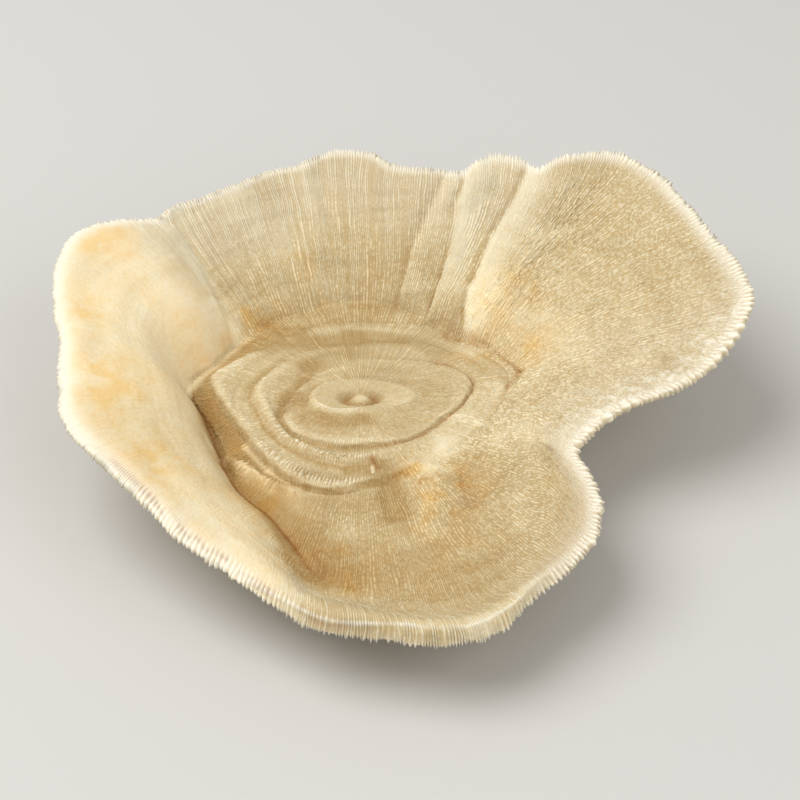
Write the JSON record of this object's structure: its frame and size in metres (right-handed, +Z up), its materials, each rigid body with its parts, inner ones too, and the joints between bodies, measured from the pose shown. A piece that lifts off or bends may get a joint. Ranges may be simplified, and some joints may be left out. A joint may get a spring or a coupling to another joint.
{
  "type": "cup coral",
  "caption": "Thin saucer-shaped coral skeleton with a ringed floor, a lobed rim edged with fine teeth, and a short stalk cut off flat.",
  "frame": {"origin": "middle of the flat cut face under the stalk", "axes": "+Z up out of the dish; +Y towards the tall back wall; +X towards the large flared lobe"},
  "size_m": [0.1396, 0.128, 0.0349],
  "materials": {
    "coral_bone": "matt, finely ridged bare coral skeleton"
  },
  "bodies": {
    "root": {"coral_skeleton": "coral_bone"}
  },
  "joints": []
}
